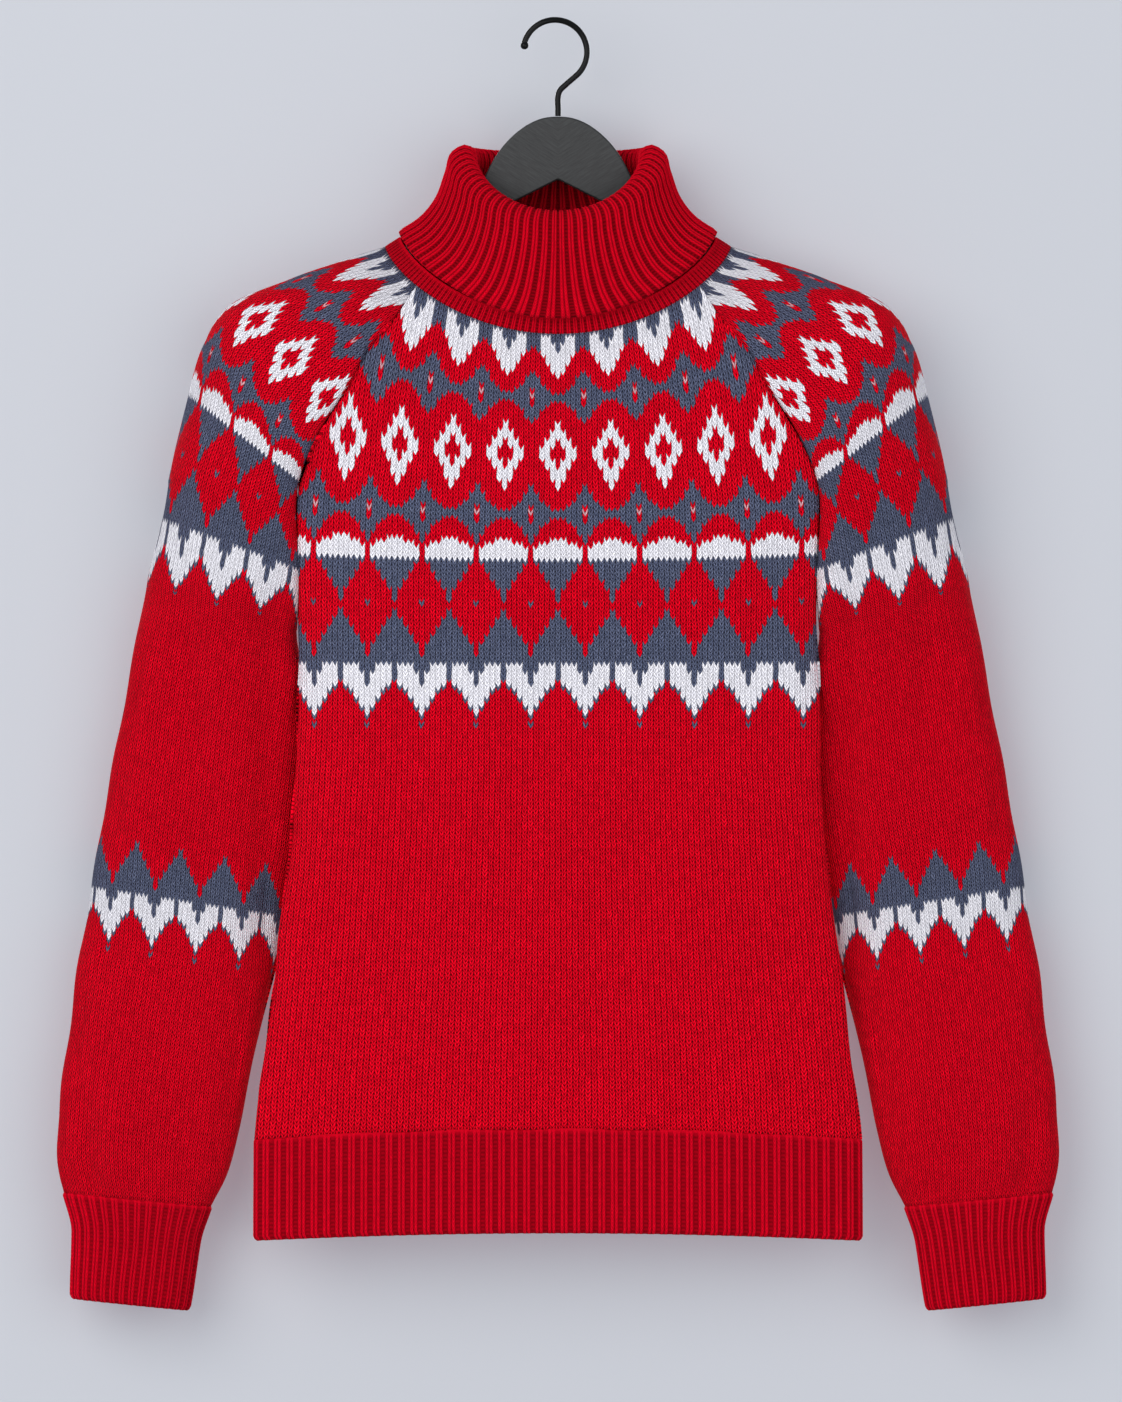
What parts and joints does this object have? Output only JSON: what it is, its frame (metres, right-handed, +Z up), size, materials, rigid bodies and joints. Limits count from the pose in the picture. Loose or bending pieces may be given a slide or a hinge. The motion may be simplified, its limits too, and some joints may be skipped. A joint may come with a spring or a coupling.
{
  "type": "fair isle roll-neck jumper on a clothes hanger",
  "caption": "Roll-neck raglan jumper with a patterned yoke and ribbed collar, hem and cuffs, hanging on a flat wooden hanger with a steel hook.",
  "frame": {"origin": "inside top of the hanger's hook, where it rests on a rail", "axes": "+Z up along the hanging jumper, -Y out of its front, +X towards the wearer's left sleeve"},
  "size_m": [0.6526, 0.0944, 0.8426],
  "materials": {
    "red_wool": "plain and ribbed wool knitting, matt",
    "stained_wood": "black stained, satin, faint grain",
    "steel": "black lacquered wire, satin gloss"
  },
  "bodies": {
    "root": {"front_panel": "red_wool", "back_panel": "red_wool", "sleeve_left": "red_wool", "sleeve_right": "red_wool", "neckband": "red_wool", "roll_collar": "red_wool", "hem_rib_front": "red_wool", "hem_rib_back": "red_wool", "cuff_left": "red_wool", "cuff_right": "red_wool", "hanger_bar": "stained_wood", "hanger_hook": "steel"}
  },
  "joints": []
}
